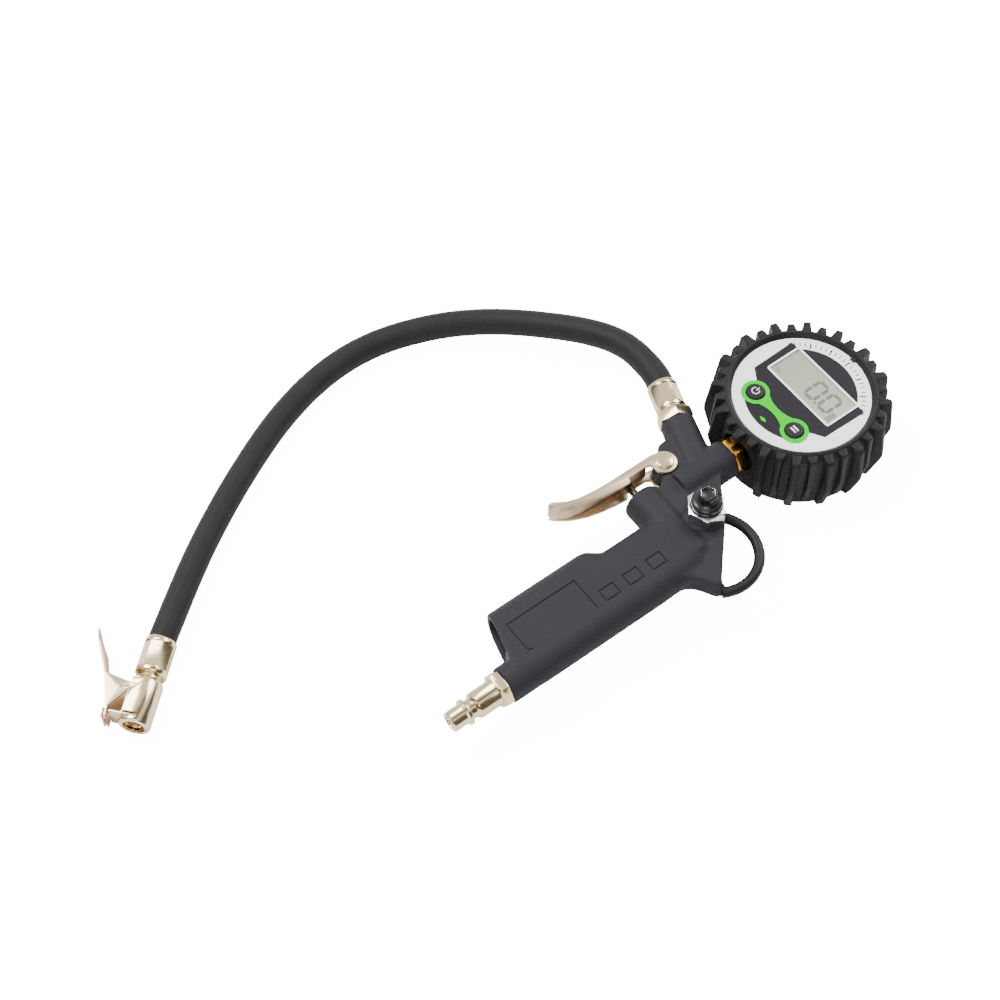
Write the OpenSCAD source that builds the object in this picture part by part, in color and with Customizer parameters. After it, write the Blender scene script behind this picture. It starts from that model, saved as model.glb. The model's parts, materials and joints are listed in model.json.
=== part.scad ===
// Pistol-grip tyre inflator with a digital pressure gauge, a rubber hose and a clip-on chuck.
// The origin is the centre of the gauge's back face. +Z is the gauge's axis, +X runs from the
// inlet plug along the handle to the gauge. Millimetres.

/* [Gauge] */
// Radius of the visible dial face
dial_r = 34.5; // [34:0.1:35]
// Height of the dial face above the gauge's back face
dial_z = 40; // [40:0.1:41]
// Outer radius of the gauge's plastic case
case_r = 36.8; // [36.6:0.1:37]
// Outer radius of the rubber boot between its treads
boot_r = 40.5; // [40:0.1:41]
// Radius of the long treads at their widest
tread_long_r = 46.8; // [45:0.1:47]
// Radius of the short treads at their widest
tread_short_r = 43.8; // [43:0.1:45]
// Number of long treads; as many short ones lie between them
tread_pairs = 16; // [12:1:20]
// Width of a tread
tread_w = 3.6; // [3.2:0.1:4]

/* [Gun body] */
// Height of the gun's middle plane above the gauge's back face
mid_z = 25; // [25:0.1:25.5]
// Radius of the rounded edges of the handle, half its thickness
grip_r = 9.5; // [9.3:0.1:9.6]
// Distance from the gauge's axis to the inlet end of the handle tube
inlet_x = 210.5; // [209:0.5:214]
// Sideways offset of the handle tube from the port's axis
tube_y = 34.8; // [34.6:0.1:35]
// Radius of the handle tube where it stands out of the grip
tube_r = 9.3; // [9:0.1:9.4]
// Distance from the gauge's axis to the valve boss
boss_x = 95.9; // [95.5:0.1:96.2]
// Radius of the valve boss
boss_r = 10; // [9.8:0.1:10.2]
// Angle between the gauge port and the hose outlet
barrel_angle = 70; // [69:0.5:71]
// Length of the hose outlet from the port's axis
barrel_length = 33; // [32.5:0.5:34]
// Thickness of the web behind the valve
web_t = 13; // [12:0.5:14]

/* [Trigger] */
// Trigger pivot, distance from the gauge's axis
pivot_x = 76; // [75.8:0.1:76.2]
// Trigger pivot, sideways offset from the port's axis
pivot_y = 13.3; // [13.2:0.1:13.4]
// Overall height of the trigger's channel
trigger_h = 15; // [14.8:0.1:15.2]
// Sheet thickness of the trigger
trigger_t = 1.5; // [1.2:0.1:1.5]
// Radius of the trigger's pin
pin_r = 2; // [1.8:0.05:2.1]

/* [Hose] */
// Outer radius of the rubber hose
hose_r = 6.9; // [6.7:0.1:6.9]
// Outer radius of the crimped ferrules
ferrule_r = 7.7; // [7.6:0.05:7.8]

/* [Chuck] */
// Outer radius of the chuck
chuck_r = 7.7; // [7.6:0.05:7.8]
// Length of the chuck's body
chuck_l = 24.6; // [24:0.2:25]
// Radius of the chuck's mouth, which slides over a tyre valve
mouth_r = 5.35; // [5.3:0.05:5.4]

/* [Hidden] */
$fn = 64;
fit = 0.05;
slot = 0.3;
through = 0.5;

// Gun
port_x = 46.6;
port_r = 9.9;
barrel_x = 64;
barrel_r = 8.8;
grip_top_y = 10.2;
neck_y = 16;
butt_x = 203;
bump_x = 143;
bleed_x = 79.3;
bleed_y = 21.5;
lug_r = 5.6;
lug_t = trigger_h - 2 * trigger_t - 2 * slot;
chamber_r = 6.5;
thread_r = 6.6;
hook_c = [-87, -38.9];
hook_r = 21.3;
hook_wire = 2.7;
gland_y = 7.5;
seat_y = -10;

// Trigger and valve
stem_r = 2;
stem_tip = 18.55;
stroke = 4.1;

// Bleed valve
nut_z = 33.5;
nut_h = 7;
nut_af = 17.4;
knob_z = 37.6;
knob_r = 7.5;
bleed_travel = 2;

// Gauge
stem_hex = 17;
lcd_x = 7.3;
lcd_w = 21.2;
lcd_l = 45.2;
button_x = -17.6;
button_y = 14.45;
button_r = 4.7;
button_travel = 0.5;
board_z = 31.5;
board_t = 1.6;
screw_r = 28.5;
door_w = 27;
door_l = 50;
cell_r = 5.2;
cell_z = 7.2;

// Hose and chuck, the chuck lies on the surface that the gauge lies on
nut_s = barrel_length;
hex_l = 5.8;
hose_s = 57;
ferrule_s = 39.4;
collar = 1.3;
barb_r = 4;
guide_r = 4.1;
neck_r = 5.9;
crimp_r = 5.7;
chuck_x = -355;
chuck_y = 58.5;
chuck_angle = 41.5;
chuck_z = 8.25;
chuck_ferrule_s = chuck_l + 2;
chuck_end = 46.2;
clip_u = 17.8;
clip_v = 4.9;
clip_half = 6.45;
clip_sheet = 1.1;
jaw_u = 3.6;

// Points on the axis of the hose outlet and of the chuck, at a distance from their starts
function barrel_point(s) = [
    -barrel_x + s * cos(barrel_angle),
    s * sin(barrel_angle),
    mid_z
];
function chuck_point(s) = [
    chuck_x + s * cos(chuck_angle),
    chuck_y + s * sin(chuck_angle),
    chuck_z
];
hose_route = [
    barrel_point(hose_s + 0.15),
    barrel_point(hose_s + 1.65),
    [-42.3, 61.5, 24.8],
    [-41.5, 70, 24.4],
    [-41.3, 78, 23.6],
    [-42.2, 86.5, 22.4],
    [-45, 96.3, 20.6],
    [-49.6, 106, 18.6],
    [-55.5, 115.6, 16.5],
    [-62.5, 125.3, 14.3],
    [-70.5, 135.2, 12.2],
    [-79.5, 144.6, 10.4],
    [-90, 153.2, 9.1],
    [-102, 160.8, 8.1],
    [-115.5, 167, 7.4],
    [-130, 171.6, 7.1],
    [-145, 174, 7],
    [-160, 174, 7],
    [-175, 171.9, 7],
    [-190, 168, 7],
    [-205, 162.6, 7],
    [-219.5, 156, 7],
    [-233.5, 148.8, 7],
    [-247, 141.3, 7],
    [-260.5, 133.2, 7],
    [-273.5, 124.8, 7.1],
    [-286, 116, 7.3],
    [-298, 106.9, 7.6],
    [-309.6, 97.8, 8],
    chuck_point(chuck_end + 1.65),
    chuck_point(chuck_end + 0.15)
];

// ---- Shared shapes ----

// Places children with their Z along +X, +Y or the hose outlet
module along_x(p) {
    translate(p) rotate([0, 90, 0]) children();
}

module along_y(p) {
    translate(p) rotate([-90, 0, 0]) children();
}

module on_barrel(s = 0) {
    translate([-barrel_x, 0, mid_z]) rotate([0, 0, barrel_angle]) rotate([0, 90, 0])
        translate([0, 0, s]) children();
}

// Places children in the chuck's frame: X from the mouth to the hose, Y towards the clip
module on_chuck() {
    translate([chuck_x, chuck_y, chuck_z]) rotate([0, 0, chuck_angle]) children();
}

module hex_prism(af, h) {
    cylinder(r = af / sqrt(3), h = h, $fn = 6);
}

module tube(ro, ri, h) {
    difference() {
        cylinder(r = ro, h = h);
        translate([0, 0, -through]) cylinder(r = ri, h = h + 2 * through);
    }
}

// A hexagon with its six top corners turned away, as on a machined nut
module nut_blank(af, h) {
    intersection() {
        hex_prism(af, h);
        union() {
            cylinder(r = af / sqrt(3) + 1, h = h - 0.8);
            translate([0, 0, h - 0.81]) cylinder(r1 = af / sqrt(3), r2 = af / 2, h = 0.81);
        }
    }
}

// Radial groups: count copies about Z
module around(count, start = 0) {
    for (i = [0 : count - 1]) rotate([0, 0, start + i * 360 / count]) children();
}

function unit(v) = v / norm(v);

// Ring of points about p, square to direction t, with its frame held level
function ring_at(p, t, r, sides) =
    let (side = unit(cross([0, 0, 1], t)), up = cross(t, side))
    [for (k = [0 : sides - 1]) p + r * (cos(360 * k / sides) * side + sin(360 * k / sides) * up)];

// One closed tube swept along a list of points
module sweep_tube(path, r, sides) {
    n = len(path);
    points = [
        for (i = [0 : n - 1])
            each ring_at(path[i], unit(path[min(i + 1, n - 1)] - path[max(i - 1, 0)]), r, sides)
    ];
    walls = [
        for (i = [0 : n - 2], k = [0 : sides - 1])
            each [
                [i * sides + k, (i + 1) * sides + k, (i + 1) * sides + (k + 1) % sides],
                [i * sides + k, (i + 1) * sides + (k + 1) % sides, i * sides + (k + 1) % sides]
            ]
    ];
    ends = [
        [for (k = [0 : sides - 1]) k],
        [for (k = [sides - 1 : -1 : 0]) (n - 1) * sides + k]
    ];
    polyhedron(points = points, faces = concat(ends, walls));
}

// Coil spring about Z from z = 0, with its wire inside the stated height
module coil(r, wire, h, turns) {
    steps = 16;
    last = turns * steps;
    path = [
        for (i = [0 : last])
            [r * cos(360 * i / steps), r * sin(360 * i / steps), wire + (h - 2 * wire) * i / last]
    ];
    sweep_tube(path, wire, 6);
}

// ---- Gun ----

// Outline of the web that carries the bleed valve and ends in the tail spur
module web_outline() {
    polygon([
        [-118, -36], [-112.5, -41.5], [-107.5, -44.2], [-104.2, -47.6], [-101.8, -51.8],
        [-100, -55.4], [-98.6, -56.3], [-96.6, -54.8],
        [-70.6, -26.8], [-67, -21], [-62.5, -14], [-58, -9], [-52, -4],
        [-58, 10], [-62, 16.5], [-71, 16], [-83, 6.5], [-100, -4]
    ]);
}

// Rounded block between the two long edges of the grip
module grip(y0, x0, x1) {
    along_x([-x0, -y0, mid_z]) cylinder(r = grip_r, h = x0 - x1);
    translate([-x0, -tube_y, mid_z - grip_r]) cube([x0 - x1, tube_y - y0, 2 * grip_r]);
}

// End of the valve boss, rounded at its mouth
module boss() {
    edge = 2.4;
    length = gland_y + 36;
    rotate_extrude() polygon(concat(
        [[0, 0], [boss_r, 0]],
        [for (a = [0 : 15 : 90])
            [boss_r - edge + edge * cos(a), length - edge + edge * sin(a)]],
        [[0, length]]
    ));
}

module engraved_frame(x, y, l, w) {
    line = 0.7;
    translate([x, y, mid_z + grip_r - 0.45]) linear_extrude(1) difference() {
        square([l, w], center = true);
        square([l - 2 * line, w - 2 * line], center = true);
    }
}

// Rounded end of the thick part of the grip, which falls to the neck
module grip_bump() {
    along_x([-bump_x, -grip_top_y, mid_z]) rotate_extrude() polygon([
        [0, 0], [grip_r, 0], [9.45, 2], [9.1, 4], [8.5, 5.5], [7.6, 7], [6.6, 8.5],
        [5.7, 10], [4.6, 12], [3.9, 14], [3.4, 17], [0, 17]
    ]);
}

module gun_solid() {
    fade = 16;
    difference() {
        union() {
            grip(grip_top_y, butt_x, bump_x);
            grip_bump();
            grip(neck_y, bump_x, boss_x);
            translate([-bump_x, -tube_y, mid_z - grip_r])
                cube([5, tube_y - neck_y + 3, 2 * grip_r]);
        }
        translate([-butt_x - 10, -tube_y + tube_r, 0])
            rotate([0, 0, -14]) translate([-20, -10, 0]) cube([31.4, 60, 50]);
    }
    along_x([-inlet_x, -tube_y, mid_z]) cylinder(r = tube_r, h = inlet_x - boss_x);
    along_x([-bump_x - 50, -tube_y, mid_z]) cylinder(r = grip_r, h = 75);
    along_y([-boss_x, -36, mid_z]) boss();
    // The tube and the boss run out into the web
    along_x([-boss_x - 4, -tube_y, mid_z])
        cylinder(r1 = tube_r - 0.1, r2 = web_t / 2 - 0.4, h = fade);
    translate([-boss_x - 1.1, -tube_y + 1.8, mid_z]) sphere(r = grip_r - 0.15);
    // Foot of the hanging hook on the tail spur
    translate([-97.3, -56.2, mid_z]) sphere(r = 3.4);
    translate([0, 0, mid_z - web_t / 2]) linear_extrude(web_t) web_outline();
    translate([-bleed_x, -bleed_y, mid_z - web_t / 2])
        cylinder(r = boss_r, h = nut_z - mid_z + web_t / 2);
    along_x([-78, 0, mid_z]) cylinder(r = port_r, h = 78 - port_x);
    on_barrel() cylinder(r1 = 9.7, r2 = barrel_r, h = barrel_length);
    // Lug of the trigger's pivot and the block behind it
    translate([-pivot_x, pivot_y, mid_z - lug_t / 2]) cylinder(r = lug_r, h = lug_t);
    translate([0, 0, mid_z - lug_t / 2]) linear_extrude(lug_t)
        polygon([[-75, 10], [-73.2, 19.5], [-71.8, 23.6], [-60, 25], [-62, 8]]);
}

module gun_bores() {
    along_x([-inlet_x - 1, -tube_y, mid_z]) cylinder(r = thread_r, h = 13);
    along_x([-inlet_x, -tube_y, mid_z]) cylinder(r = 4, h = inlet_x - boss_x);
    along_y([-boss_x, -12, mid_z]) cylinder(r = chamber_r, h = gland_y + 13);
    along_y([-boss_x, -tube_y, mid_z]) cylinder(r = 5.2, h = tube_y - 11);
    along_x([-boss_x, 0, mid_z]) cylinder(r = 3, h = boss_x - port_x);
    along_x([-port_x - 14, 0, mid_z]) cylinder(r = thread_r, h = 15);
    on_barrel() cylinder(r = 3, h = barrel_length + 1);
    on_barrel(24.5) cylinder(r = 6.25, h = barrel_length);
    translate([-bleed_x, -bleed_y, 21.8]) cylinder(r = 6.05, h = 20);
    translate([-bleed_x, -bleed_y, 20.5]) cylinder(r = 3, h = 2);
    along_y([-bleed_x, -bleed_y, 22]) cylinder(r = 1.5, h = bleed_y);
    translate([-pivot_x, pivot_y, 0]) cylinder(r = pin_r, h = 50);
    // Hollow in the butt
    along_x([-butt_x - 10, -grip_top_y - 0.8, mid_z]) cylinder(r = 7, h = 60);
    translate([-butt_x - 10, -23, mid_z - 7]) cube([60, 12, 14]);
    // Clearance for the trigger's two cheeks above and below the lug
    for (z = [mid_z - trigger_h / 2 - slot, mid_z + lug_t / 2])
        translate([-pivot_x, pivot_y, z])
            cylinder(r = 7, h = trigger_t + 2 * slot);
    // Pockets for the ends of the hanging hook
    hook_wire_path();
}

module gun_body() {
    color("#3b3b40") difference() {
        gun_solid();
        gun_bores();
        engraved_frame(-173.3, -22.9, 40.3, 18.6);
        for (i = [0 : 2]) engraved_frame(-143.8 + 14.05 * i, -28.7, 8.8, 7.1);
    }
}

// The hook's wire, a D closed by the web's back edge
module hook_wire_path() {
    translate([hook_c[0], hook_c[1], mid_z]) rotate([0, 0, -121])
        rotate_extrude(angle = 158) translate([hook_r, 0]) circle(r = hook_wire, $fn = 32);
}

module hang_hook() {
    color("#333336") hook_wire_path();
}

module inlet_plug() {
    head = 6;
    color("#d9cfb4") along_x([-inlet_x, -tube_y, mid_z]) difference() {
        union() {
            translate([0, 0, -0.9]) cylinder(r = thread_r - fit, h = 12);
            rotate([180, 0, 0]) {
                translate([0, 0, 0.4]) rotate([0, 0, 30]) nut_blank(16, 4.8);
                translate([0, 0, head]) rotate_extrude() polygon([
                    [0, -0.9], [6.9, -0.9], [6.9, 0.3], [6.6, 0.9], [6.6, 10.4], [5.9, 11.4],
                    [4.9, 12.2], [4.9, 14.2], [6.3, 15], [6.6, 15.5], [6.6, 16.6],
                    [5.13, 17.4], [5.13, 24.4], [4.7, 24.9], [0, 24.9]
                ]);
            }
        }
        translate([0, 0, -40]) cylinder(r = 3.2, h = 60);
    }
}

module inlet_seal() {
    color("#7a3b2a") along_x([-inlet_x - 0.4, -tube_y, mid_z]) tube(7.4, thread_r + fit, 0.4);
}

// ---- Trigger and valve ----

// Flat outline of the trigger's cheek, finger end at the left
module cheek_outline() {
    difference() {
        union() {
            translate([-pivot_x, pivot_y]) circle(r = 6.2);
            polygon([
                [-74, 19.2], [-79, 20.4], [-87, 20.4], [-96, 20.4], [-105, 20.4], [-114.5, 20.9],
                [-122, 21.9], [-128.5, 24], [-134.2, 27.8], [-135.8, 27.9], [-134.4, 26],
                [-131, 23.2], [-127, 20.6], [-120, 17.6], [-112, 15.6], [-104, 14.3],
                [-97.8, 13.8], [-96.6, 14.6], [-95.8, 16.5], [-84, 16.5], [-80.5, 14], [-76, 13]
            ]);
        }
        translate([-pivot_x, pivot_y]) circle(r = pin_r + fit);
    }
}

// Outer wall of the trigger's channel, against the fingers
module finger_wall() {
    t = trigger_t;
    polygon([
        [-82.5, 20.4], [-96, 20.4], [-105, 20.4], [-114.5, 20.9], [-122, 21.9],
        [-128.5, 24], [-134.2, 27.8], [-136.6, 27.9], [-136.6, 27.9 - t], [-134.4, 27.5 - t],
        [-128.8, 23.8 - t], [-122.2, 21.9 - t], [-114.6, 20.9 - t], [-105, 20.4 - t],
        [-96, 20.4 - t], [-82.5, 20.4 - t]
    ]);
}

module trigger_lever() {
    z0 = mid_z - trigger_h / 2;
    color("#e6d9cc") {
        translate([0, 0, z0]) linear_extrude(trigger_t) cheek_outline();
        translate([0, 0, z0 + trigger_h - trigger_t]) linear_extrude(trigger_t) cheek_outline();
        // The finger wall, with the corners of its free end taken off
        intersection() {
            translate([0, 0, z0]) linear_extrude(trigger_h) finger_wall();
            rotate([90, 0, 0]) translate([0, 0, -40]) linear_extrude(60) polygon([
                [-60, z0 - 1], [-131, z0 - 1], [-133.2, z0 + 0.6], [-135.4, z0 + 2.6],
                [-136.9, z0 + 5.4], [-137.2, z0 + 13.2], [-135.6, z0 + 15.2], [-134, z0 + 16],
                [-60, z0 + 16]
            ]);
        }
    }
}

module trigger_pin() {
    top = mid_z + trigger_h / 2 + 0.15;
    foot = mid_z - trigger_h / 2 - 0.15;
    color("#e8dfc8") translate([-pivot_x, pivot_y, 0]) {
        translate([0, 0, foot]) cylinder(r = pin_r, h = top - foot);
        translate([0, 0, top - 0.01]) rotate_extrude() polygon([
            [0, 0], [4.5, 0], [4.5, 0.7], [4.2, 1.1], [3.5, 1.3], [0, 1.35]
        ]);
        translate([0, 0, foot - 1]) cylinder(r1 = 3.4, r2 = 4, h = 1.01);
    }
}

module valve_gland() {
    color("#b5935a") difference() {
        union() {
            along_y([-boss_x, gland_y - 1.7, mid_z]) nut_blank(11, 1.6);
            along_y([-boss_x, 3.2, mid_z]) cylinder(r = chamber_r - fit, h = gland_y - 4.89);
        }
        along_y([-boss_x, -5, mid_z]) cylinder(r = stem_r + fit, h = 20);
        along_y([-boss_x, 2, mid_z]) cylinder(r = 3.6, h = 3.4);
    }
}

module gland_seal() {
    color("#2a2a2a") along_y([-boss_x, 3.5, mid_z]) tube(3.55, stem_r + fit, 1.8);
}

module valve_stem() {
    color("#d7d7d7") along_y([-boss_x, -16.5, mid_z]) rotate_extrude() polygon([
        [0, 0], [1.6, 0], [1.6, 2.2], [3.2, 2.2], [3.2, 2.8], [stem_r, 2.8],
        [stem_r, stem_tip + 15.5], [1.6, stem_tip + 16.2], [0, stem_tip + 16.5]
    ]);
}

module valve_disc() {
    color("#2f2f2f") along_y([-boss_x, seat_y - 3.7, mid_z]) tube(4.6, stem_r, 1.6);
}

module valve_seat() {
    color("#b5935a") along_y([-boss_x, seat_y - 2, mid_z]) difference() {
        cylinder(r = chamber_r - fit, h = 2);
        translate([0, 0, -1]) cylinder(r = 3, h = 4);
    }
}

module valve_spring() {
    color("#b8b8b8") along_y([-boss_x, seat_y - 20, mid_z]) coil(3.9, 0.4, 16.1, 7);
}

// ---- Bleed valve ----

module bleed_nut() {
    color("#e4e4e4") translate([-bleed_x, -bleed_y, 0]) difference() {
        union() {
            translate([0, 0, nut_z]) cylinder(r = nut_af / 2, h = 1);
            translate([0, 0, nut_z]) rotate([0, 0, -7]) nut_blank(nut_af, nut_h);
            translate([0, 0, 26]) cylinder(r = 6, h = nut_z - 25.9);
        }
        translate([0, 0, knob_z - bleed_travel - slot]) cylinder(r = knob_r + 0.3, h = 10);
        translate([0, 0, 20]) cylinder(r = 1.5 + fit, h = 20);
        translate([0, 0, 25]) cylinder(r = 4.2, h = 4);
    }
}

module bleed_seal() {
    color("#2a2a2a") translate([-bleed_x, -bleed_y, 26.4]) tube(4.15, 1.5 + fit, 1.6);
}

module bleed_pin() {
    color("#cfcfcf") translate([-bleed_x, -bleed_y, 0]) {
        translate([0, 0, 23.4]) cylinder(r = 1.5, h = 17.6);
        translate([0, 0, 24.1]) cylinder(r = 3.6, h = 1);
    }
}

module bleed_knob() {
    color("#2e2e31") translate([-bleed_x, -bleed_y, 0]) difference() {
        translate([0, 0, knob_z]) rotate_extrude() polygon([
            [0, 0], [knob_r, 0], [knob_r, 6.4], [6.9, 7], [6.4, 7.2], [5.2, 8], [4.7, 8.6],
            [4.9, 9.2], [4.9, 13.2], [4.4, 13.8], [0, 13.8]
        ]);
        translate([0, 0, knob_z - 1]) cylinder(r = 5.6, h = 4);
        translate([0, 0, knob_z - 1]) cylinder(r = 1.5, h = 4.6);
        translate([0, 0, knob_z + 11.3]) rotate([0, 0, -7]) hex_prism(7, 4);
        translate([0, 0, knob_z + 4.6]) rotate([90, 0, 20]) cylinder(r = 0.8, h = 9);
    }
}

module bleed_screw() {
    color("#f0f0f0") translate([-bleed_x, -bleed_y, knob_z + 11.3]) rotate([0, 0, -7])
        difference() {
            hex_prism(7, 2);
            translate([0, 0, -1]) hex_prism(6.4, 4);
        }
}

module bleed_spring() {
    color("#b8b8b8") translate([-bleed_x, -bleed_y, knob_z - bleed_travel - slot])
        coil(3.4, 0.4, bleed_travel + 3.2, 4);
}

// ---- Gauge ----

module gauge_stem() {
    hex_x = 41.2;
    color("#c98a1e") difference() {
        union() {
            along_x([-port_x - 12, 0, mid_z]) cylinder(r = thread_r - fit, h = 12.1);
            along_x([-port_x, 0, mid_z]) rotate([0, 0, 30])
                intersection() {
                    hex_prism(stem_hex, port_x - hex_x);
                    cylinder(r1 = 8.9, r2 = 14, h = port_x - hex_x);
                }
            along_x([-hex_x - 0.1, 0, mid_z]) cylinder(r = 5.9, h = 13.1);
        }
        along_x([-port_x - 20, 0, mid_z]) cylinder(r = 1.5, h = 60);
    }
}

module stem_nut() {
    color("#c98a1e") along_x([-case_r + 3, 0, mid_z]) difference() {
        hex_prism(14, 2.6);
        translate([0, 0, -1]) cylinder(r = 5.9 + fit, h = 6);
    }
}

module pressure_sensor() {
    color("#c9c9c9") {
        along_x([-28.2, 0, mid_z]) cylinder(r = 5, h = 5);
        along_x([-23.3, 0, mid_z]) cylinder(r = 3.4, h = 2);
    }
}

module gauge_case() {
    color("#2b2b2d") difference() {
        union() {
            translate([0, 0, 1.75]) tube(case_r, case_r - 2, dial_z - 1.85);
            translate([0, 0, dial_z - 3.6]) cylinder(r = case_r - 1, h = 3.5);
            // Posts that carry the circuit board and take the back's screws
            around(4, 45) {
                translate([screw_r, 0, 3.5]) cylinder(r = 3.4, h = board_z - 3.5);
                translate([screw_r, -1, 3.5]) cube([case_r - 1 - screw_r, 2, board_z - 3.5]);
            }
        }
        around(4, 45) translate([screw_r, 0, 3]) cylinder(r = 1.6, h = 9.5);
        translate([0, 0, dial_z - 1.1]) cylinder(r = dial_r + 0.1, h = 3);
        translate([lcd_x, 0, dial_z - 3]) cube([lcd_w - 1, lcd_l - 1, 10], center = true);
        for (s = [-1, 1]) translate([button_x, s * button_y, 30])
            cylinder(r = button_r + 0.4, h = 20);
        along_x([-case_r - 1, 0, mid_z]) cylinder(r = 5.9 + fit, h = 6);
    }
}

module back_cover() {
    color("#2b2b2d") difference() {
        union() {
            cylinder(r = 33, h = 1.8);
            translate([0, 0, 1.75]) cylinder(r = case_r - 2.1, h = 1.75);
        }
        translate([0, 0, -1]) linear_extrude(2.6) rounded_slab(door_w, door_l, 3);
        translate([0, 0, 1.5]) linear_extrude(3) rounded_slab(door_w - 4, door_l - 4, 1);
        around(4, 45) translate([screw_r, 0, -1]) cylinder(r = 1.6, h = 6);
    }
}

module battery_door() {
    color("#2b2b2d") difference() {
        linear_extrude(1.6) rounded_slab(door_w - 0.2, door_l - 0.2, 2.9);
        for (x = [-4, 0, 4]) translate([x - 0.6, door_l / 2 - 9, -1]) cube([1.2, 5, 1.5]);
    }
}

module case_screws() {
    color("#a8a8a8") around(4, 45) translate([screw_r, 0, 0.2]) difference() {
        cylinder(r = 1.6, h = 12);
        translate([0, 0, -1]) cylinder(r = 0.8, h = 2);
    }
}

// Rim end of a tread from the side: it wraps over the boot's shoulder
function tread_rim(lead) = [
    [boot_r + lead * 0.67, dial_z + 0.4], [boot_r + lead * 0.48, dial_z + 2],
    [38, dial_z + 2], [38, dial_z]
];

// One tread bar, a chevron from the side. A foot of 1 reaches the boot's foot, 0 stops above it
module tread(tip_r, width, foot) {
    lead = tip_r - boot_r;
    low = 6.5 - 3.9 * foot;
    rotate([90, 0, 0]) translate([0, 0, -width / 2]) linear_extrude(width) polygon(concat(
        [[boot_r - 1.5, low - 0.4], [boot_r + 0.9 + 0.5 * foot, low], [tip_r, 19.5]],
        [[tip_r, 22.5]],
        tread_rim(lead),
        [[boot_r - 1.5, dial_z - 3]]
    ));
}

// The rim end alone, for the places where the gauge's stem leaves no room below
module tread_pad(tip_r, width) {
    lead = tip_r - boot_r;
    rotate([90, 0, 0]) translate([0, 0, -width / 2]) linear_extrude(width) polygon(concat(
        [[boot_r - 1.5, 36.5], [boot_r + lead * 0.4, 36.5], [boot_r + lead * 0.67, 38.6]],
        tread_rim(lead)
    ));
}

module rubber_boot() {
    lip_z = dial_z + 2.5;
    color("#2a2a2b") difference() {
        union() {
            rotate_extrude() polygon([
                [33.3, 0], [37.4, 0], [38.7, 1.6], [boot_r - 0.1, 4.8],
                [boot_r + 0.4, 12], [boot_r + 0.4, 30],
                [boot_r - 0.2, 38], [38.2, lip_z - 0.6], [37.5, lip_z], [36.2, lip_z - 0.2],
                [34.7, dial_z + 0.4], [34.7, dial_z + 0.1], [case_r + fit, dial_z + 0.1],
                [case_r + fit, 1.7], [33.3, 1.7]
            ]);
            for (i = [0 : 2 * tread_pairs - 1]) rotate([0, 0, i * 180 / tread_pairs]) {
                long = i % 2 == 0 ? 1 : 0;
                tip = long == 1 ? tread_long_r : tread_short_r;
                if (abs(i - tread_pairs) < 2) tread_pad(tip, tread_w);
                else tread(tip, tread_w, long);
            }
            // Small pointer tab at the top of the dial
            translate([34.3, 0, dial_z + 0.6]) cube([2, 2.6, 1], center = true);
        }
        along_x([-60, 0, mid_z]) cylinder(r = 10.4, h = 30);
    }
}

module batteries() {
    color("#8a8f96") for (x = [-5.6, 5.6]) along_y([x, -22.2, cell_z]) {
        cylinder(r = cell_r, h = 43.4);
        translate([0, 0, 43.3]) cylinder(r = 1.9, h = 1.1);
    }
}

// Cradle over the two cells, open towards the door
module battery_holder() {
    color("#3a3a3c") difference() {
        translate([-11.9, -24, 3.5]) cube([23.8, 48, 10.5]);
        for (x = [-5.6, 5.6]) {
            along_y([x, -22.3, cell_z]) cylinder(r = cell_r + 0.1, h = 44.6);
            translate([x - cell_r - 0.1, -22.3, 0]) cube([2 * cell_r + 0.2, 44.6, cell_z]);
        }
    }
}

module circuit_board() {
    color("#1f6b3a") translate([0, 0, board_z]) difference() {
        cylinder(r = case_r - 2.3, h = board_t);
        // Room for the nut on the gauge's stem
        translate([-40, -9, -1]) cube([10, 18, board_t + 2]);
    }
}

module button_switches() {
    color("#55585c") for (s = [-1, 1])
        translate([button_x, s * button_y, board_z + board_t + 1])
            cube([6, 6, 2], center = true);
}

module dial_plate() {
    color("#f4f4f2") difference() {
        translate([0, 0, dial_z - 1]) cylinder(r = dial_r, h = 1);
        translate([lcd_x, 0, dial_z]) cube([lcd_w - 1, lcd_l - 1, 5], center = true);
        for (s = [-1, 1]) translate([button_x, s * button_y, dial_z - 2])
            cylinder(r = button_r + 0.3, h = 4);
    }
}

// Dark printed field behind the display and the buttons
module label_outline() {
    difference() {
        union() {
            intersection() {
                circle(r = 27.6);
                translate([12, -30]) square([28, 60]);
            }
            polygon([
                [-8, -26.3], [17.2, -26.9], [17.2, 26.9], [-8, 26.3], [-12, 20],
                [-26, 9], [-28.3, 0], [-26, -9], [-12, -20]
            ]);
            intersection() {
                circle(r = 28.6);
                translate([-30, -14]) square([20, 28]);
            }
        }
        translate([lcd_x, 0]) square([lcd_w - 1, lcd_l - 1], center = true);
        for (s = [-1, 1]) translate([button_x, s * button_y]) circle(r = button_r + 0.3);
    }
}

module dial_label() {
    color("#3c3b42") translate([0, 0, dial_z]) linear_extrude(0.15) label_outline();
}

// Green surround that joins the two buttons
module button_surround() {
    color("#35d14b") translate([0, 0, dial_z + 0.15]) linear_extrude(0.4) difference() {
        union() {
            for (s = [-1, 1]) translate([button_x, s * button_y]) circle(r = 7.1);
            difference() {
                translate([button_x - 3.4, -button_y]) square([9, 2 * button_y]);
                translate([button_x - 21.2, 0]) circle(r = 19.6);
                translate([button_x + 21.8, 0]) circle(r = 19.6);
            }
        }
        for (s = [-1, 1]) translate([button_x, s * button_y]) circle(r = button_r + 0.3);
    }
}

module rounded_slab(l, w, r) {
    square([l - 2 * r, w], center = true);
    square([l, w - 2 * r], center = true);
    for (x = [-1, 1], y = [-1, 1])
        translate([x * (l / 2 - r), y * (w / 2 - r)]) circle(r = r, $fn = 32);
}

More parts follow.
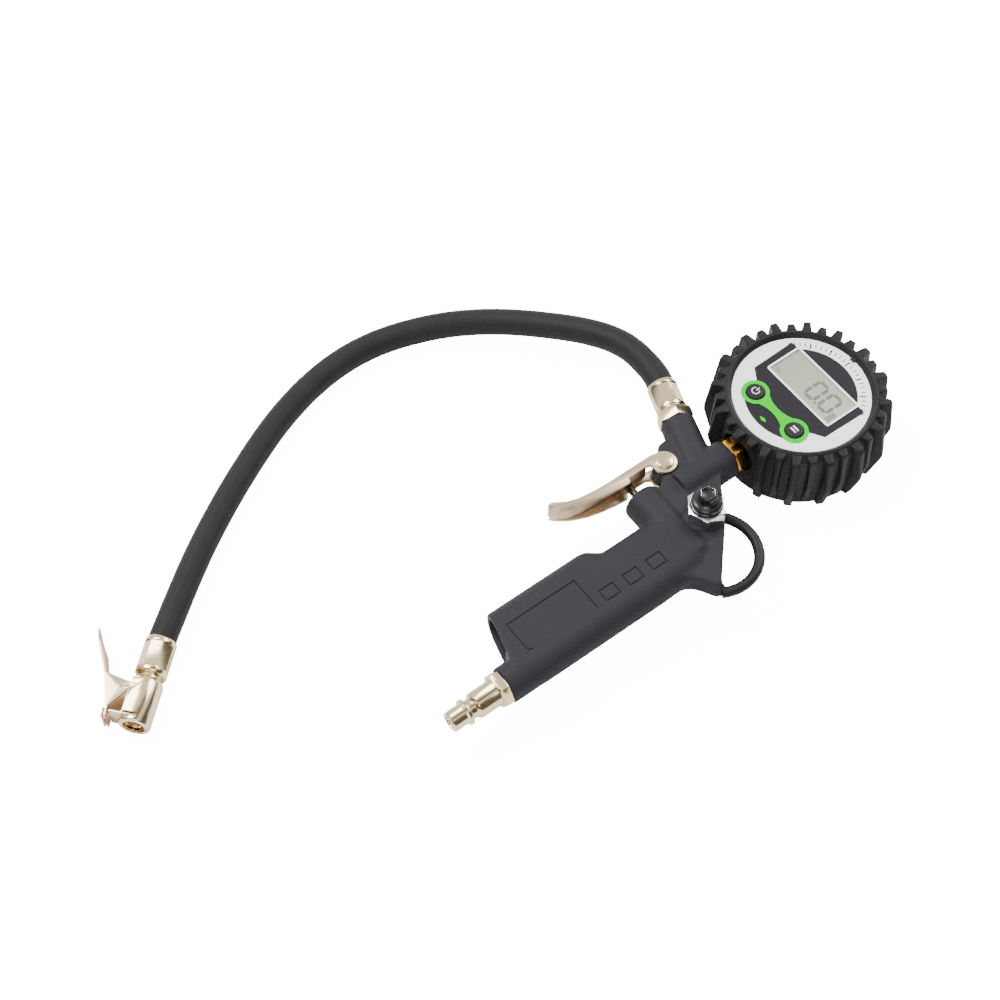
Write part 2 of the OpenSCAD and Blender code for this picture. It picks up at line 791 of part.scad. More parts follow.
module lcd_frame() {
    color("#f7f7f5") translate([lcd_x, 0, dial_z + 0.15]) linear_extrude(0.5) difference() {
        rounded_slab(lcd_w, lcd_l, 1.2);
        rounded_slab(lcd_w - 2, lcd_l - 2, 0.6);
    }
}

module lcd_panel() {
    foot = board_z + board_t;
    color("#a9ad9f") translate([lcd_x - lcd_w / 2 + 0.6, 0.6 - lcd_l / 2, foot])
        cube([lcd_w - 1.2, lcd_l - 1.2, dial_z - 0.2 - foot]);
}

module push_button(s) {
    foot = board_z + board_t + 2 + button_travel + 0.15;
    color("#39333b") translate([button_x, s * button_y, 0]) rotate_extrude() polygon([
        [0, foot], [2, foot], [2, foot + 1], [button_r, foot + 1], [button_r, dial_z + 0.9],
        [button_r - 0.5, dial_z + 1.4], [button_r - 1.4, dial_z + 1.6], [0, dial_z + 1.7]
    ]);
}

module on_button() {
    push_button(1);
}

module unit_button() {
    push_button(-1);
}

// ---- Hose ----

// Eight pressed flats around a ferrule of radius r, along Z from z0 to z1
module flats(r, z0, z1) {
    depth = 0.6;
    half = 3.6;
    around(8) rotate([90, 0, 0]) translate([0, 0, -half]) linear_extrude(2 * half) polygon([
        [r - depth, z0 + 1.2], [r - depth, z1 - 1.2], [r + 0.4, z1], [r + 0.4, z0]
    ]);
}

// A pressed ferrule: sleeve of length l with an inward collar at its nut end
module ferrule(l) {
    difference() {
        rotate_extrude() polygon([
            [neck_r + fit, 0], [ferrule_r - 1.1, 0], [ferrule_r - 0.4, 0.4], [ferrule_r, 1.1],
            [ferrule_r, l - 1], [ferrule_r - 0.4, l - 0.3], [ferrule_r - 0.9, l],
            [crimp_r + fit, l], [crimp_r + fit, collar], [neck_r + fit, collar]
        ]);
        flats(ferrule_r, 2.2, l - 2.2);
    }
}

module hose_fitting() {
    shoulder = ferrule_s + collar;
    color("#ddd3b6") on_barrel() difference() {
        union() {
            translate([0, 0, 25]) cylinder(r = 6.2, h = nut_s - 24.9);
            translate([0, 0, nut_s]) nut_blank(16.5, hex_l);
            translate([0, 0, nut_s + hex_l]) cylinder(r = neck_r, h = shoulder - nut_s - hex_l);
            translate([0, 0, shoulder - 0.1]) cylinder(r = barb_r, h = hose_s - 1.4 - shoulder);
        }
        translate([0, 0, 20]) cylinder(r = 2.4, h = 60);
    }
}

module gun_ferrule() {
    color("#ddd3b6") on_barrel(ferrule_s) ferrule(hose_s - ferrule_s);
}

// A length of hose that is crimped inside a ferrule of length l
module crimped_end(l) {
    translate([0, 0, collar + 0.1]) tube(crimp_r, barb_r + fit, l - collar - 0.1);
}

module hose_ends() {
    color("#2f2f31") {
        on_barrel(ferrule_s) crimped_end(hose_s - ferrule_s);
        on_chuck() translate([chuck_ferrule_s, 0, 0]) rotate([0, 90, 0])
            crimped_end(chuck_end - chuck_ferrule_s);
    }
}

module hose() {
    color("#2f2f31") sweep_tube(hose_route, hose_r, 12);
}

// ---- Chuck ----

module chuck_ferrule() {
    color("#ddd3b6") on_chuck() translate([chuck_ferrule_s, 0, 0]) rotate([0, 90, 0])
        ferrule(chuck_end - chuck_ferrule_s);
}

// The chuck's round core, turned from the mouth to the hose tail
module chuck_core_solid() {
    shoulder = chuck_ferrule_s + collar;
    rotate([0, 90, 0]) rotate_extrude() polygon([
        [0, 0], [chuck_r - 0.9, 0], [chuck_r - 0.3, 0.3], [chuck_r, 0.9],
        [chuck_r, chuck_l - 2.5], [chuck_r - 0.3, chuck_l - 1.5], [chuck_r - 1, chuck_l - 0.5],
        [chuck_r - 1.4, chuck_l], [neck_r, chuck_l + 0.1], [neck_r, shoulder],
        [barb_r, shoulder], [barb_r, chuck_end - 1.5], [0, chuck_end - 1.5]
    ]);
}

module chuck_bores() {
    mouth_l = jaw_u - 0.6;
    rotate([0, 90, 0]) {
        translate([0, 0, -1]) cylinder(r = mouth_r, h = mouth_l + 1);
        translate([0, 0, 2]) cylinder(r = guide_r, h = 6.3);
        translate([0, 0, 8.2]) cylinder(r = 5, h = 4.8);
        translate([0, 0, 8]) cylinder(r = 3.3, h = 14);
        translate([0, 0, 20]) cylinder(r = 2, h = 40);
    }
}

module chuck_body() {
    cheek_gap = clip_sheet + 0.3;
    color("#d8ceb2") on_chuck() difference() {
        union() {
            chuck_core_solid();
            // Flat sides of the sheet sleeve that carries the clip's pin
            translate([jaw_u, -1.5, -chuck_r]) cube([18.5, 7.35, 2 * chuck_r]);
        }
        chuck_bores();
        translate([clip_u, clip_v, -10]) cylinder(r = 1, h = 20);
        // Pocket for the clip's spring
        translate([clip_u, clip_v, 2.6]) cylinder(r = 2, h = 3);
        // Slot for the jaw
        translate([jaw_u - 0.6, -1.5, -10]) cube([1.4, 14, 20]);
        // Slots for the clip's two cheeks
        for (z = [-clip_half - 0.2, clip_half - clip_sheet - 0.1])
            translate([12, 2.2, z]) cube([12, 10, cheek_gap]);
    }
}

module chuck_seal() {
    color("#303030") on_chuck() rotate([0, 90, 0]) translate([0, 0, 8.3]) tube(4.95, 2.6, 4.3);
}

module chuck_pin() {
    color("#c9a25a") on_chuck() rotate([0, 90, 0]) difference() {
        union() {
            translate([0, 0, 8.6]) cylinder(r = 1.4, h = 6.4);
            translate([0, 0, 13.4]) cylinder(r = 3.2, h = 1.6);
        }
        translate([0, 0, 14]) cylinder(r = 1, h = 3);
    }
}

module chuck_spring() {
    color("#b8b8b8") on_chuck() rotate([0, 90, 0]) translate([0, 0, 15.1]) coil(2.6, 0.3, 6.7, 4);
}

// Cheek of the clip lever with its side flange, in the chuck's frame
module clip_cheek() {
    difference() {
        union() {
            translate([clip_u, clip_v]) circle(r = 2.2);
            polygon([
                [5.2, 14], [6, 13.1], [15.9, 6.4], [17.8, 4.9], [19.9, 5.2], [19.9, 8],
                [22.3, 19], [28, 21.3], [35.5, 24], [41, 27.6], [45.3, 30.5], [41, 29],
                [35, 26.6], [28, 23.2], [21.9, 20.2], [14, 17.3], [5.2, 14.3]
            ]);
        }
        translate([clip_u, clip_v]) circle(r = 1 + fit);
    }
}

// Thin blade of the clip lever as a bent strip seen edge-on
module clip_blade() {
    polygon([
        [0.4, 12.95], [2.2, 12.95], [5.3, 13.25], [14.3, 16.35], [22.3, 19.25], [28.4, 22.25],
        [35.4, 25.65], [41.4, 28.05], [46, 30.05], [45.6, 30.95], [41, 29], [35, 26.6],
        [28, 23.2], [21.9, 20.2], [14, 17.3], [5, 14.2], [2, 13.9], [0.4, 13.9]
    ]);
}

module clip_lever() {
    color("#e0d6bc") on_chuck() {
        difference() {
            intersection() {
                union() {
                    translate([0, 0, -clip_half]) linear_extrude(2 * clip_half) clip_blade();
                    for (z = [-clip_half, clip_half - clip_sheet])
                        translate([0, 0, z]) linear_extrude(clip_sheet) clip_cheek();
                }
                rotate([-90, 0, 0]) linear_extrude(40) polygon([
                    [0, -clip_half], [38, -clip_half], [43, -5], [46, -2.5], [46.5, 0],
                    [46, 2.5], [43, 5], [38, clip_half], [0, clip_half]
                ]);
            }
            // Fork around the jaw's neck
            translate([-1, 10, -2.6]) cube([6.4, 10, 5.2]);
        }
        for (s = [-1, 1]) translate([16.3, 11.4, s * (clip_half - 0.1)])
            cylinder(r = 1.1, h = 0.6, center = true);
    }
}

module clip_pin() {
    color("#cfc6ac") on_chuck() translate([clip_u, clip_v, 0]) {
        cylinder(r = 1, h = 2 * chuck_r, center = true);
        for (s = [-1, 1]) translate([0, 0, s * (chuck_r + 0.2)])
            cylinder(r = 1.5, h = 0.4, center = true);
    }
}

module clip_spring() {
    color("#b8b8b8") on_chuck() translate([clip_u, clip_v, 2.8]) coil(1.5, 0.25, 2.2, 3);
}

// Locking plate with a notch that closes on the valve's thread
module clip_jaw() {
    neck_v = 12.5;
    color("#d8c3a0") on_chuck() {
        difference() {
            translate([jaw_u - 0.5, -0.8, -6.2]) cube([1, neck_v + 0.8, 12.4]);
            along_x([jaw_u - 2, -1.3, 0]) cylinder(r = 4.6, h = 4);
        }
        translate([jaw_u - 0.5, neck_v - 0.1, -2.3]) cube([1, 2.2, 4.6]);
        translate([0.4, neck_v + 2, -6]) cube([4.2, 1.1, 12]);
    }
}

gun_body();
hang_hook();
inlet_plug();
inlet_seal();
trigger_lever();
trigger_pin();
valve_gland();
gland_seal();
valve_stem();
valve_disc();
valve_seat();
valve_spring();
bleed_nut();
bleed_seal();
bleed_pin();
bleed_knob();
bleed_screw();
bleed_spring();
gauge_stem();
stem_nut();
pressure_sensor();
gauge_case();
back_cover();
battery_door();
case_screws();
rubber_boot();
batteries();
battery_holder();
circuit_board();
button_switches();
dial_plate();
dial_label();
button_surround();
lcd_frame();
lcd_panel();
on_button();
unit_button();
hose_fitting();
gun_ferrule();
hose_ends();
hose();
chuck_ferrule();
chuck_body();
chuck_seal();
chuck_pin();
chuck_spring();
clip_lever();
clip_pin();
clip_spring();
clip_jaw();
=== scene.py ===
"""Looks of a pistol-grip tyre inflator with a digital gauge, built over its CAD frame.

The frame gives every size, mount and joint. This script dresses the CAD nodes that are right as
they are, and models finer pieces over the ones that need cast fillets, treads or print.
All lengths are in metres.
"""

from __future__ import annotations

import json
import logging
import math
from dataclasses import dataclass, field
from enum import Enum
from typing import Iterable, Sequence

import bmesh
import bpy
from mathutils import Matrix, Vector

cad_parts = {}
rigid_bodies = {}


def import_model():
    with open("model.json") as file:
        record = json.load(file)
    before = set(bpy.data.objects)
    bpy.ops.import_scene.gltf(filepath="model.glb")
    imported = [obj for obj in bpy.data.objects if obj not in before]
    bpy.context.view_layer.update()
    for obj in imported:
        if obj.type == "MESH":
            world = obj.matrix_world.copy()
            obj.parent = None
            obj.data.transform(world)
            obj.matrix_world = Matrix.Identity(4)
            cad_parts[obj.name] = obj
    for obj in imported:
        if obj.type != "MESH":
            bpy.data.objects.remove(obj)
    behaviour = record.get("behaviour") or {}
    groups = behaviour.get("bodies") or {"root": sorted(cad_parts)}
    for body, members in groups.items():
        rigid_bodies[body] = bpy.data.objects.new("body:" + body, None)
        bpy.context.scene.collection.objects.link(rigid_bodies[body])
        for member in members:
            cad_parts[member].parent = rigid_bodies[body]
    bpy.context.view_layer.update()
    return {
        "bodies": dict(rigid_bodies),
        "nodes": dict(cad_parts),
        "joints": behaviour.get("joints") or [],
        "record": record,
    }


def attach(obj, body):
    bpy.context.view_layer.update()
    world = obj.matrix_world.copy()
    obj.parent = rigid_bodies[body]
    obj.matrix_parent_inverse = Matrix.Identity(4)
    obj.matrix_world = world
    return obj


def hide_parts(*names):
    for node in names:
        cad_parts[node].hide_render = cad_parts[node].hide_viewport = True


LOG = logging.getLogger("tyre_inflator")
MM = 0.001
# Faces that meet below the first angle are one face, and edges above the second are rounded
FLAT_ANGLE = math.radians(1.5)
SHARP_ANGLE = 0.6
Colour = tuple[float, float, float]
Point = tuple[float, float, float]


class Slot(Enum):
    """Finishes of the object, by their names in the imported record."""

    CASTING = "casting"
    HOOK = "hook_coat"
    NICKEL = "nickel"
    LEVER = "lever_steel"
    BRASS = "brass"
    CHROME = "bright_chrome"
    # Steel of the valve stem, painted near black and dark brown to stand for the shade it sits in
    # under the trigger lever.
    BLACK_STEEL = "black_steel"
    STEEL = "steel"
    KNOB = "knob_plastic"
    CASE = "case_plastic"
    BOOT = "boot_rubber"
    HOSE = "hose_rubber"
    SEAL = "seal_rubber"
    WASHER = "fibre_washer"
    DIAL_WHITE = "dial_white"
    DIAL_CHARCOAL = "dial_charcoal"
    DIAL_GREEN = "dial_green"
    LCD = "lcd"
    BUTTON = "button_black"
    BOARD = "board_green"
    SWITCH = "switch_grey"
    CELL = "cell_jacket"


class Body(Enum):
    """The frame's bodies that carry the pieces made here."""

    GUN = "gun"
    TRIGGER = "trigger"
    BLEED = "bleed"
    ON_KEY = "on_key"
    UNIT_KEY = "unit_key"
    CLIP = "clip"
    JAW = "jaw"


# ---------------------------------------------------------------- shader workbench


class Signal:
    """A shader socket that takes part in Python arithmetic."""

    def __init__(self, bench: "Bench", socket: bpy.types.NodeSocket) -> None:
        """Wraps one output socket of a node on a bench."""
        self.bench = bench
        self.socket = socket

    def _maths(self, operation: str, *others: "Signal | float") -> "Signal":
        """Adds one Math node.

        Args:
            operation: the Math node's operation.
            others: the operands, in order.

        Returns:
            The node's result.
        """
        sockets = dict(enumerate(others))
        return self.bench.node("ShaderNodeMath", {"operation": operation}, sockets)

    def __add__(self, other: "Signal | float") -> "Signal":
        """Sum."""
        return self._maths("ADD", self, other)

    def __mul__(self, other: "Signal | float") -> "Signal":
        """Product."""
        return self._maths("MULTIPLY", self, other)

    def __sub__(self, other: "Signal | float") -> "Signal":
        """Difference."""
        return self._maths("SUBTRACT", self, other)

    def limited(self) -> "Signal":
        """The value held between 0 and 1."""
        return self.bench.node("ShaderNodeClamp", {}, {0: self})


class Bench:
    """The node tree of one material, with a Principled shader at its end."""

    def __init__(self, name: str) -> None:
        """Starts a material with an empty tree."""
        self.material = bpy.data.materials.new(name)
        self.material.use_nodes = True
        self.tree = self.material.node_tree
        self.tree.nodes.clear()
        self.end = self.tree.nodes.new("ShaderNodeOutputMaterial")
        self.shader = self.tree.nodes.new("ShaderNodeBsdfPrincipled")
        self.tree.links.new(self.shader.outputs[0], self.end.inputs["Surface"])

    def node(
        self,
        kind: str,
        settings: dict[str, object],
        sockets: dict[int | str, object],
        output: int | str = 0,
    ) -> Signal:
        """Adds a node.

        Args:
            kind: the node's type name.
            settings: properties set first.
            sockets: values or signals by socket name or number.
            output: which output to return.

        Returns:
            That output as a signal.
        """
        made = self.tree.nodes.new(kind)
        for key, value in settings.items():
            setattr(made, key, value)
        for key, value in sockets.items():
            self.feed(made.inputs[key], value)
        return Signal(self, made.outputs[output])

    def feed(self, socket: bpy.types.NodeSocket, value: object) -> None:
        """Links a signal to a socket, or sets the socket's own value."""
        if isinstance(value, Signal):
            self.tree.links.new(value.socket, socket)
        elif isinstance(value, tuple) and len(value) == 3 and socket.type == "RGBA":
            socket.default_value = (*value, 1.0)
        else:
            socket.default_value = value

    def set(self, **sockets: object) -> None:
        """Feeds the Principled shader's sockets, named with underscores for spaces."""
        for key, value in sockets.items():
            self.feed(self.shader.inputs[key.replace("_", " ")], value)

    def place(self, stretch: Point = (1.0, 1.0, 1.0), turn: float = 0.0) -> Signal:
        """Object coordinates, stretched along each axis and turned about Z.

        Args:
            stretch: factor for each axis.
            turn: angle about Z in degrees.

        Returns:
            The coordinates.
        """
        where = self.node("ShaderNodeTexCoord", {}, {}, "Object")
        angles = (0.0, 0.0, math.radians(turn))
        sockets = {"Vector": where, "Rotation": angles, "Scale": stretch}
        return self.node("ShaderNodeMapping", {}, sockets)

    def noise(self, where: Signal, scale: float, detail: float = 3.0) -> Signal:
        """Grey noise with a given number of features a metre."""
        sockets = {"Vector": where, "Scale": scale, "Detail": detail}
        return self.node("ShaderNodeTexNoise", {}, sockets)

    def tint(self, mask: Signal, low: Colour, high: Colour) -> Signal:
        """A colour between two, by a mask."""
        return self.node("ShaderNodeMix", {"data_type": "RGBA"}, {0: mask, 6: low, 7: high}, 2)

    def bump(self, height: Signal, depth: float) -> Signal:
        """A surface normal from a grey height of 0 to 1, whose full range is depth in metres."""
        sockets = {"Height": height, "Distance": depth, "Strength": 1.0}
        return self.node("ShaderNodeBump", {}, sockets)


def scaled(colour: Colour, factor: float) -> Colour:
    """A colour made lighter or darker."""
    return tuple(min(1.0, c * factor) for c in colour)


@dataclass(frozen=True)
class Coating:
    """Matt coating or moulded skin with a fine grain."""

    slot: Slot
    colour: Colour
    rough: float = 0.55
    grain: float = 1500.0
    depth: float = 0.00006
    variation: float = 0.14
    specular: float = 0.5

    def build(self) -> bpy.types.Material:
        """Makes the material."""
        bench = Bench(self.slot.value)
        where = bench.place()
        fine = bench.noise(where, self.grain, 2.0)
        broad = bench.noise(where, 60.0, 4.0)
        shade = (broad * 0.6 + fine * 0.4).limited()
        low = scaled(self.colour, 1.0 - self.variation)
        high = scaled(self.colour, 1.0 + self.variation)
        bench.set(
            Base_Color=bench.tint(shade, low, high),
            Roughness=broad * 0.12 + fine * 0.08 + (self.rough - 0.1),
            Specular_IOR_Level=self.specular,
            Normal=bench.bump(fine, self.depth),
        )
        return bench.material


@dataclass(frozen=True)
class Rubber:
    """Rubber with faint bloom and a moulded or wrapped skin."""

    slot: Slot
    colour: Colour
    rough: float = 0.5
    grain: float = 900.0
    depth: float = 0.00008
    bloom: float = 0.5
    specular: float = 0.14

    def build(self) -> bpy.types.Material:
        """Makes the material."""
        bench = Bench(self.slot.value)
        where = bench.place()
        fine = bench.noise(where, self.grain, 3.0)
        cloud = bench.noise(where, 90.0, 5.0)
        dust = ((cloud - 0.45) * 4.0).limited() * self.bloom
        bench.set(
            Base_Color=bench.tint(dust, self.colour, scaled(self.colour, 1.5)),
            Roughness=dust * 0.12 + fine * 0.1 + (self.rough - 0.06),
            Specular_IOR_Level=self.specular,
            Normal=bench.bump(fine, self.depth),
        )
        return bench.material


@dataclass(frozen=True)
class Plating:
    """Polished or satin metal with a slight drift of hue and fine scratches."""

    slot: Slot
    colour: Colour
    warm: Colour
    rough: float = 0.2
    scratch: float = 0.05
    drift: float = 70.0

    def build(self) -> bpy.types.Material:
        """Makes the material."""
        bench = Bench(self.slot.value)
        cloud = bench.noise(bench.place(), self.drift, 4.0)
        streaks = bench.noise(bench.place((1.0, 1.0, 0.06), 20.0), 2600.0, 2.0)
        mask = ((cloud - 0.4) * 5.0).limited()
        bench.set(
            Base_Color=bench.tint(mask, self.colour, self.warm),
            Metallic=1.0,
            Roughness=cloud * 0.16 + streaks * self.scratch + (self.rough - 0.1),
            Normal=bench.bump(cloud * 0.6 + streaks * 0.4, 0.00002),
        )
        return bench.material


@dataclass(frozen=True)
class Gloss:
    """Glossy or printed plastic with faint wear in its polish."""

    slot: Slot
    colour: Colour
    rough: float = 0.22
    coat: float = 0.3
    variation: float = 0.03
    specular: float = 0.5

    def build(self) -> bpy.types.Material:
        """Makes the material."""
        bench = Bench(self.slot.value)
        where = bench.place()
        smear = bench.noise(where, 120.0, 5.0)
        fine = bench.noise(where, 3000.0, 2.0)
        low = scaled(self.colour, 1.0 - self.variation)
        bench.set(
            Base_Color=bench.tint(smear, low, scaled(self.colour, 1.0 + self.variation)),
            Roughness=smear * 0.12 + (self.rough - 0.05),
            Specular_IOR_Level=self.specular,
            Coat_Weight=self.coat,
            Coat_Roughness=0.08,
            Normal=bench.bump(fine, 0.00001),
        )
        return bench.material


@dataclass(frozen=True)
class Display:
    """A liquid crystal display: grey-green, darker towards one end, behind clear plastic."""

    slot: Slot
    light: Colour
    dark: Colour

    def build(self) -> bpy.types.Material:
        """Makes the material."""
        bench = Bench(self.slot.value)
        where = bench.node("ShaderNodeTexCoord", {}, {}, "Object")
        along = bench.node("ShaderNodeSeparateXYZ", {}, {0: where}, "Y")
        grain = bench.noise(where, 1400.0, 2.0)
        shade = (along * 14.0 + 0.5 + (grain - 0.5) * 0.12).limited()
        bench.set(
            Base_Color=bench.tint(shade, self.light, self.dark),
            Roughness=grain * 0.06 + 0.16,
            Coat_Weight=0.6,
            Coat_Roughness=0.05,
        )
        return bench.material


FINISHES: tuple[object, ...] = (
    Coating(Slot.CASTING, (0.021, 0.020, 0.024), 0.55, 1700.0, 0.00007, 0.16, 0.12),
    Coating(Slot.HOOK, (0.010, 0.010, 0.011), 0.45, 1300.0, 0.00004, 0.14, 0.2),
    Plating(Slot.NICKEL, (0.78, 0.64, 0.36), (0.72, 0.57, 0.36), 0.17),
    Plating(Slot.LEVER, (0.66, 0.52, 0.34), (0.64, 0.48, 0.34), 0.28, 0.09),
    # Painted shade: the valve stem's steel made near black and dark brown for the shade under the
    # trigger lever.
    Plating(Slot.BLACK_STEEL, (0.06, 0.05, 0.042), (0.09, 0.065, 0.045), 0.3),
    Plating(Slot.BRASS, (0.85, 0.46, 0.06), (0.70, 0.33, 0.04), 0.2),
    Plating(Slot.CHROME, (0.88, 0.88, 0.89), (0.84, 0.84, 0.86), 0.14, 0.03),
    Plating(Slot.STEEL, (0.62, 0.62, 0.63), (0.56, 0.56, 0.57), 0.3),
    Coating(Slot.KNOB, (0.008, 0.008, 0.009), 0.26, 1200.0, 0.00003, 0.14, 0.4),
    Coating(Slot.CASE, (0.012, 0.012, 0.013), 0.5, 1400.0, 0.00005, 0.14, 0.2),
    Rubber(Slot.BOOT, (0.0115, 0.0115, 0.012), 0.48, 1100.0, 0.00007, 0.55, 0.14),
    Rubber(Slot.HOSE, (0.0125, 0.0125, 0.013), 0.56, 1500.0, 0.0001, 0.5, 0.14),
    Rubber(Slot.SEAL, (0.01, 0.01, 0.01), 0.5),
    Coating(Slot.WASHER, (0.30, 0.10, 0.06), 0.75, 900.0, 0.00008),
    Gloss(Slot.DIAL_WHITE, (0.93, 0.93, 0.93), 0.3, 0.15, 0.015),
    Gloss(Slot.DIAL_CHARCOAL, (0.014, 0.013, 0.016), 0.45, 0.0, 0.08, 0.12),
    Gloss(Slot.DIAL_GREEN, (0.0, 0.52, 0.004), 0.4, 0.0, 0.03, 0.05),
    Display(Slot.LCD, (0.36, 0.40, 0.28), (0.25, 0.28, 0.21)),
    Coating(Slot.BUTTON, (0.014, 0.012, 0.015), 0.5, 2000.0, 0.00003, 0.14, 0.2),
    Coating(Slot.BOARD, (0.02, 0.15, 0.06), 0.4, 800.0, 0.00003),
    Coating(Slot.SWITCH, (0.13, 0.14, 0.12), 0.5, 1500.0, 0.00003, 0.1, 0.2),
    Plating(Slot.CELL, (0.5, 0.52, 0.56), (0.45, 0.46, 0.5), 0.35),
)


# ---------------------------------------------------------------- mesh workshop


@dataclass
class Workshop:
    """Holds the loaded frame and the finishes, and turns meshes into finished pieces."""

    frame: dict
    finishes: dict[Slot, bpy.types.Material] = field(default_factory=dict)

    def mix_finishes(self) -> None:
        """Makes every finish once."""
        for recipe in FINISHES:
            self.finishes[recipe.slot] = recipe.build()

    def dress(self, obj: bpy.types.Object, slot: Slot) -> None:
        """Gives an object one finish."""
        obj.data.materials.clear()
        obj.data.materials.append(self.finishes[slot])

    def dress_frame(self) -> None:
        """Gives every CAD node the finish that the record names for it."""
        for row in self.frame["record"]["subparts"]:
            self.dress(self.frame["nodes"][row["node"]], Slot(row["material_slot"]))

    def finished(
        self,
        name: str,
        bm: bmesh.types.BMesh,
        slot: Slot,
        body: Body,
        stands_for: Sequence[str] = (),
        sharp: float = 35.0,
    ) -> bpy.types.Object:
        """Makes a piece from a bmesh.

        Args:
            name: the piece's name.
            bm: its mesh in the row frame, freed here.
            slot: its finish.
            body: the CAD body it rides on.
            stands_for: CAD nodes that it replaces.
            sharp: edges sharper than this angle in degrees stay crisp.

        Returns:
            The piece.
        """
        mesh = bpy.data.meshes.new(name)
        bmesh.ops.recalc_face_normals(bm, faces=bm.faces)
        bm.to_mesh(mesh)
        bm.free()
        mesh.shade_smooth()
        mesh.set_sharp_from_angle(angle=math.radians(sharp))
        piece = bpy.data.objects.new(name, mesh)
        bpy.context.scene.collection.objects.link(piece)
        self.dress(piece, slot)
        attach(piece, body.value)
        if stands_for:
            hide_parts(*stands_for)
        LOG.info("%s: %d faces", name, len(mesh.polygons))
        return piece

    def merged(self, node: str) -> bmesh.types.BMesh:
        """A bmesh copy of a CAD node with its loose triangles joined."""
        bm = bmesh.new()
        bm.from_mesh(self.frame["nodes"][node].data)
        bmesh.ops.remove_doubles(bm, verts=bm.verts, dist=0.004 * MM)
        return bm

    def broken_edges(self, node: str, slot: Slot, body: Body, width: float) -> bpy.types.Object:
        """Stands a copy with rounded edges in for a CAD node.

        Args:
            node: the CAD node.
            slot: its finish.
            body: its body.
            width: the rounding's width in metres.

        Returns:
            The piece.
        """
        bm = self.merged(node)
        bmesh.ops.dissolve_limit(bm, angle_limit=FLAT_ANGLE, verts=bm.verts, edges=bm.edges)
        sharp = [e for e in bm.edges if e.is_manifold and e.calc_face_angle(0.0) > SHARP_ANGLE]
        round_off(bm, sharp, width)
        return self.finished(f"{node}_rounded", bm, slot, body, (node,))


def round_off(
    bm: bmesh.types.BMesh, edges: Sequence[bmesh.types.BMEdge], width: float
) -> None:
    """Rounds edges of a mesh with two faces each.

    Args:
        bm: the mesh.
        edges: its edges to round.
        width: the rounding's width in metres.
    """
    bmesh.ops.bevel(
        bm,
        geom=edges,
        offset=width,
        offset_type="OFFSET",
        segments=2,
        profile=0.5,
        affect="EDGES",
        clamp_overlap=True,
        material=-1,
    )


def raised(bm: bmesh.types.BMesh, outline: Iterable[Point], along: Point) -> None:
    """Adds a prism.

    Args:
        bm: the mesh it is added to.
        outline: corners of its first face in metres, in order.
        along: from its first face to its last, in metres.
    """
    face = bm.faces.new([bm.verts.new(corner) for corner in outline])
    up = bmesh.ops.extrude_face_region(bm, geom=[face])
    far = [part for part in up["geom"] if isinstance(part, bmesh.types.BMVert)]
    bmesh.ops.translate(bm, vec=along, verts=far)


def box(bm: bmesh.types.BMesh, low: Point, high: Point) -> None:
    """Adds a box between two corners, given in millimetres."""
    near, far = Vector(low) * MM, Vector(high) * MM
    matrix = Matrix.Translation((near + far) / 2) @ Matrix.Diagonal((*(far - near), 1.0))
    bmesh.ops.create_cube(bm, size=1.0, matrix=matrix)


def turned(bm: bmesh.types.BMesh, profile: Iterable[tuple[float, float]], steps: int) -> None:
    """Fills an empty mesh with a body turned about Z.

    Args:
        bm: the mesh.
        profile: (radius, height) points in metres, in order. The last one joins the first.
        steps: faces round the axis.
    """
    verts = [bm.verts.new((r, 0.0, z)) for r, z in profile]
    edges = [bm.edges.new(pair) for pair in zip(verts, [*verts[1:], verts[0]])]
    bmesh.ops.spin(
        bm,
        geom=[*verts, *edges],
        cent=(0, 0, 0),
        axis=(0, 0, 1),
        angle=math.tau,
        steps=steps,
        use_merge=True,
    )
    bmesh.ops.remove_doubles(bm, verts=bm.verts, dist=0.002 * MM)


# ---------------------------------------------------------------- sub-assemblies


